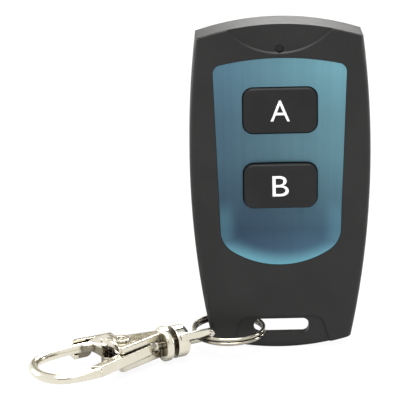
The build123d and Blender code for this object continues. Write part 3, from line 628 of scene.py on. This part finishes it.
@dataclass
class Fob:
    """The case, its plate, keys and everything inside."""

    bench: Bench
    dome_keep: float = 0.5
    dome_sharp: float = 0.6
    legend_height: float = 3.75 * MM
    legend_depth: float = 0.03 * MM
    legend_sink: float = 0.01 * MM
    legend_weight: float = -0.004
    legend_lifts: dict[Key, float] = field(
        default_factory=lambda: {Key.UPPER: 0.0, Key.LOWER: 0.08 * MM})
    legend_widths: dict[Key, float] = field(
        default_factory=lambda: {Key.UPPER: 3.37 * MM, Key.LOWER: 2.87 * MM})

    def build(self) -> None:
        """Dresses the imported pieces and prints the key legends."""
        looks = {
            SHELL: ("front_shell", "back_shell"),
            TEAL: ("trim_plate",),
            KEY: ("button_a", "button_b"),
            MOULDING: ("switch_base_a", "switch_base_b", "switch_plunger_a", "switch_plunger_b"),
            STEEL: ("switch_cover_a", "switch_cover_b", "saw_resonator", "coin_cell",
                    "battery_clip", "battery_contact"),
            TIN: ("switch_leads",),
            BOARD: ("circuit_board",),
            COPPER: ("antenna_trace",),
            CHIP: ("encoder_chip", "rf_transistor"),
            CERAMIC: ("chip_passives",),
            LAMP: ("indicator_led",),
            LENS: ("lamp_lens",),
            SCREW: ("back_screws",),
        }
        for finish, nodes in looks.items():
            for node in nodes:
                self.bench.dress(node, finish)
        self._legend(Key.UPPER, "button_a", "key_a")
        self._legend(Key.LOWER, "button_b", "key_b")
        self._snap_dome("switch_dome_a", "snap_dome_a")
        self._snap_dome("switch_dome_b", "snap_dome_b")

    def _snap_dome(self, node: str, name: str) -> None:
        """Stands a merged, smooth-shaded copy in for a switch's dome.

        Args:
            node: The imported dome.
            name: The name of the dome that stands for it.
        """
        source = self.bench.frame["nodes"][node]
        shape = bmesh.new()
        shape.from_mesh(source.data)
        bmesh.ops.remove_doubles(shape, verts=shape.verts, dist=MERGE_GAP)
        for face in shape.faces:
            face.smooth = True
        for edge in shape.edges:
            edge.smooth = edge.calc_face_angle(math.pi) < self.dome_sharp
        mesh = bpy.data.meshes.new(name)
        shape.to_mesh(mesh)
        shape.free()
        dome = self.bench.add(name, mesh, "case", "steel", STEEL)
        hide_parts(node)
        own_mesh(dome)

    def _legend(self, key: Key, node: str, body: str) -> None:
        """Prints a key's letter as a thin raised layer.

        Args:
            key: The key whose letter it is.
            node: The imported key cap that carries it.
            body: The body that the cap is on.
        """
        low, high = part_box(node)
        text = bpy.data.curves.new("legend", "FONT")
        text.body = key.value
        text.align_x = "CENTER"
        text.align_y = "CENTER"
        text.offset = self.legend_weight
        holder = bpy.data.objects.new("legend", text)
        mesh = bpy.data.meshes.new_from_object(holder)
        bpy.data.objects.remove(holder)
        shape = bmesh.new()
        shape.from_mesh(mesh)
        bmesh.ops.remove_doubles(shape, verts=shape.verts, dist=LETTER_MERGE_GAP)
        across = [vertex.co.x for vertex in shape.verts]
        up = [vertex.co.y for vertex in shape.verts]
        middle = ((max(across) + min(across)) / 2, (max(up) + min(up)) / 2)
        wide = self.legend_widths[key] / (max(across) - min(across))
        tall = self.legend_height / (max(up) - min(up))
        bmesh.ops.translate(shape, verts=shape.verts, vec=(-middle[0], -middle[1], 0.0))
        bmesh.ops.scale(shape, verts=shape.verts, vec=(wide, tall, 1.0))
        layer = bmesh.ops.extrude_face_region(shape, geom=shape.faces[:])
        moved = [item for item in layer["geom"] if isinstance(item, bmesh.types.BMVert)]
        bmesh.ops.translate(shape, verts=moved, vec=(0.0, 0.0, self.legend_depth))
        bmesh.ops.recalc_face_normals(shape, faces=shape.faces)
        bmesh.ops.rotate(shape, verts=shape.verts, matrix=Matrix.Rotation(math.pi / 2, 3, "X"))
        centre = (low + high) / 2
        bmesh.ops.translate(shape, verts=shape.verts,
                            vec=(centre.x, low.y + self.legend_sink,
                                 centre.z + self.legend_lifts[key]))
        shape.to_mesh(mesh)
        shape.free()
        self.bench.add("legend_" + node[-1], mesh, body, "legend", LEGEND)


@dataclass
class Clasp:
    """The split ring and the swivel snap hook."""

    bench: Bench

    def build(self) -> None:
        """Dresses the metal pieces."""
        for node in ("swivel_eye", "gate_rivet"):
            self.bench.dress(node, NICKEL)
        self.bench.dress("split_ring", RING)
        self.bench.dress("gate_lever", LEVER)
        self.bench.dress("hook_body", CASTING)
        self.bench.dress("gate_spring", STEEL)


@dataclass(frozen=True)
class Lamp:
    """A soft square lamp that faces a point."""

    name: str
    place: tuple[float, float, float]
    target: tuple[float, float, float]
    size: float
    power: float


@dataclass(frozen=True)
class Card:
    """A dull card that only reflections show, which faces a point."""

    name: str
    place: tuple[float, float, float]
    target: tuple[float, float, float]
    size: tuple[float, float]
    color: tuple[float, float, float]


LAMPS = (
    Lamp("key_overhead", (0.0, -0.16, 0.42), (0.0, 0.0, 0.0), 0.35, 2.4),
    Lamp("rim_back", (0.05, 0.42, 0.40), (0.0, 0.0, 0.02), 0.30, 3.6),
    Lamp("fill_left", (-0.45, 0.16, 0.12), (-0.01, 0.0, 0.0), 0.25, 2.2),
    Lamp("fill_right", (0.45, 0.16, 0.12), (0.0, 0.0, 0.0), 0.25, 2.2),
)
CARDS = (
    Card("card_back", (0.275, 0.75, 0.50), (0.275, 0.0, 0.5), (1.25, 0.74),
         (0.34, 0.31, 0.25)),
    Card("card_low", (0.65, 0.74, 0.05), (0.65, 0.0, 0.05), (0.9, 0.16),
         (0.12, 0.11, 0.09)),
    Card("card_right", (0.60, 0.15, 0.20), (0.0, 0.15, 0.20), (0.9, 0.34),
         (0.10, 0.09, 0.07)),
    Card("card_front", (-0.02, -0.60, 0.235), (-0.02, 0.0, -0.02), (0.44, 0.24),
         (0.06, 0.052, 0.04)),
)


@dataclass
class Studio:
    """White floor and background, soft lamps, dull cards and the camera."""

    floor_z: float = -0.030
    floor_size: float = 3.0
    floor_tone: float = 0.9
    floor_white: float = 0.93
    light_all_round: float = 0.5
    white: float = 1.0
    eye: tuple[float, float, float] = (-0.01429, -0.32064, 0.09891)
    right: tuple[float, float, float] = (0.99978, -0.00647, -0.01992)
    up: tuple[float, float, float] = (0.02094, 0.30895, 0.95085)
    lens: float = 165.0
    film: float = 36.0
    nearest: float = 0.01
    farthest: float = 10.0

    def build(self) -> None:
        """Builds the set, the lamps and the camera."""
        self._floor()
        self._world()
        for lamp in LAMPS:
            self._hang(lamp)
        for sizes in CARDS:
            self._stand(sizes)
        self._camera()
        LOG.info("set up the floor, %d lamps, %d cards and the camera", len(LAMPS), len(CARDS))

    def _panel(self, name: str, size: tuple[float, float], turn: Matrix) -> bpy.types.Object:
        """Makes a flat panel of the set.

        Args:
            name: The panel's name.
            size: Its width and height in metres.
            turn: Its place and turn.

        Returns:
            The new object.
        """
        shape = bmesh.new()
        bmesh.ops.create_grid(shape, x_segments=1, y_segments=1, size=0.5)
        bmesh.ops.scale(shape, verts=shape.verts, vec=(size[0], size[1], 1.0))
        bmesh.ops.transform(shape, matrix=turn, verts=shape.verts)
        mesh = bpy.data.meshes.new(name)
        shape.to_mesh(mesh)
        shape.free()
        panel = bpy.data.objects.new(name, mesh)
        bpy.context.scene.collection.objects.link(panel)
        return panel

    def _faced(self, place: tuple[float, float, float],
               target: tuple[float, float, float]) -> Matrix:
        """Gives the place and turn of a thing that faces a point.

        Args:
            place: Where it stands.
            target: The point that it faces.

        Returns:
            The matrix that puts it there.
        """
        way = Vector(target) - Vector(place)
        return Matrix.Translation(place) @ way.to_track_quat("-Z", "Y").to_matrix().to_4x4()

    def _glow(self, tree: bpy.types.NodeTree,
              color: tuple[float, float, float]) -> bpy.types.NodeSocket:
        """Adds a shader that shows one colour under any light.

        Args:
            tree: The node tree that gets it.
            color: The colour.

        Returns:
            The shader's socket.
        """
        glow = tree.nodes.new("ShaderNodeEmission")
        glow.inputs["Color"].default_value = (*color, 1.0)
        return glow.outputs["Emission"]

    def _either(self, tree: bpy.types.NodeTree, first: bpy.types.NodeSocket,
                second: bpy.types.NodeSocket) -> bpy.types.NodeSocket:
        """Joins two tests.

        Args:
            tree: The node tree that holds them.
            first: The first test's socket.
            second: The second test's socket.

        Returns:
            A socket that is 1 where either test is.
        """
        larger = tree.nodes.new("ShaderNodeMath")
        larger.operation = "MAXIMUM"
        tree.links.new(first, larger.inputs[0])
        tree.links.new(second, larger.inputs[1])
        return larger.outputs["Value"]

    def _mixed(self, tree: bpy.types.NodeTree, share: bpy.types.NodeSocket,
               first: bpy.types.NodeSocket,
               second: bpy.types.NodeSocket) -> bpy.types.NodeSocket:
        """Mixes two shaders.

        Args:
            tree: The node tree that holds them.
            share: The second shader's share.
            first: The first shader's socket.
            second: The second shader's socket.

        Returns:
            The mixed shader's socket.
        """
        mix = tree.nodes.new("ShaderNodeMixShader")
        tree.links.new(share, mix.inputs["Fac"])
        tree.links.new(first, mix.inputs[1])
        tree.links.new(second, mix.inputs[2])
        return mix.outputs["Shader"]

    def _floor(self) -> None:
        """Lays the floor, which shows only the object's shadow on white.

        The camera sees the white background through it, so a clasp that hangs below the
        floor is seen too.
        """
        floor = self._panel("floor", (self.floor_size, self.floor_size),
                            Matrix.Translation((0.0, 0.0, self.floor_z)))
        material = bpy.data.materials.new("floor_white")
        material.use_nodes = True
        tree = material.node_tree
        tree.nodes.clear()
        output = tree.nodes.new("ShaderNodeOutputMaterial")
        matt = tree.nodes.new("ShaderNodeBsdfDiffuse")
        matt.inputs["Color"].default_value = (*(self.floor_tone,) * 3, 1.0)
        clear = tree.nodes.new("ShaderNodeBsdfTransparent")
        path = tree.nodes.new("ShaderNodeLightPath")
        mirror = self._either(tree, path.outputs["Is Glossy Ray"],
                              path.outputs["Is Transmission Ray"])
        shaded = matt.outputs["BSDF"]
        for seen, light in ((mirror, self._glow(tree, (self.white,) * 3)),
                            (path.outputs["Is Camera Ray"], clear.outputs["BSDF"])):
            share = tree.nodes.new("ShaderNodeMath")
            share.operation = "MULTIPLY"
            share.inputs[1].default_value = self.floor_white
            tree.links.new(seen, share.inputs[0])
            shaded = self._mixed(tree, share.outputs["Value"], shaded, light)
        tree.links.new(shaded, output.inputs["Surface"])
        floor.data.materials.append(material)

    def _world(self) -> None:
        """Makes the background white and lights evenly from all round."""
        world = bpy.data.worlds.new("studio")
        world.use_nodes = True
        tree = world.node_tree
        tree.nodes.clear()
        output = tree.nodes.new("ShaderNodeOutputWorld")
        shades = []
        for strength in (self.light_all_round, self.white):
            shade = tree.nodes.new("ShaderNodeBackground")
            shade.inputs["Color"].default_value = (1.0, 1.0, 1.0, 1.0)
            shade.inputs["Strength"].default_value = strength
            shades.append(shade.outputs["Background"])
        path = tree.nodes.new("ShaderNodeLightPath")
        seen = self._either(tree, path.outputs["Is Camera Ray"], path.outputs["Is Glossy Ray"])
        seen = self._either(tree, seen, path.outputs["Is Transmission Ray"])
        tree.links.new(self._mixed(tree, seen, *shades), output.inputs["Surface"])
        bpy.context.scene.world = world

    def _hang(self, lamp: Lamp) -> None:
        """Hangs a lamp.

        Args:
            lamp: The lamp's place, size and power.
        """
        light = bpy.data.lights.new(lamp.name, "AREA")
        light.shape = "SQUARE"
        light.size = lamp.size
        light.energy = lamp.power
        holder = bpy.data.objects.new(lamp.name, light)
        holder.matrix_world = self._faced(lamp.place, lamp.target)
        bpy.context.scene.collection.objects.link(holder)

    def _stand(self, sizes: Card) -> None:
        """Stands a card up.

        Args:
            sizes: The card's place, sizes and colour.
        """
        card = self._panel(sizes.name, sizes.size, self._faced(sizes.place, sizes.target))
        card.visible_camera = False
        card.visible_diffuse = False
        card.visible_shadow = False
        material = bpy.data.materials.new(sizes.name)
        material.use_nodes = True
        tree = material.node_tree
        tree.nodes.clear()
        output = tree.nodes.new("ShaderNodeOutputMaterial")
        tree.links.new(self._glow(tree, sizes.color), output.inputs["Surface"])
        card.data.materials.append(material)

    def _camera(self) -> None:
        """Sets the camera at the photograph's viewing angle."""
        data = bpy.data.cameras.new("camera")
        data.lens = self.lens
        data.sensor_width = self.film
        data.sensor_height = self.film
        data.sensor_fit = "HORIZONTAL"
        data.clip_start = self.nearest
        data.clip_end = self.farthest
        right, up = Vector(self.right), Vector(self.up)
        back = right.cross(up)
        turn = Matrix((right, up, back)).transposed().to_4x4()
        camera = bpy.data.objects.new("camera", data)
        camera.matrix_world = Matrix.Translation(self.eye) @ turn
        bpy.context.scene.collection.objects.link(camera)
        bpy.context.scene.camera = camera


def main() -> None:
    """Builds the remote and its studio."""
    logging.basicConfig(level=logging.INFO, format="%(message)s")
    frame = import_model()
    bench = Bench(frame)
    Fob(bench).build()
    Clasp(bench).build()
    Studio().build()
    bpy.context.scene.view_settings.view_transform = "Standard"


if __name__ == "__main__":
    main()
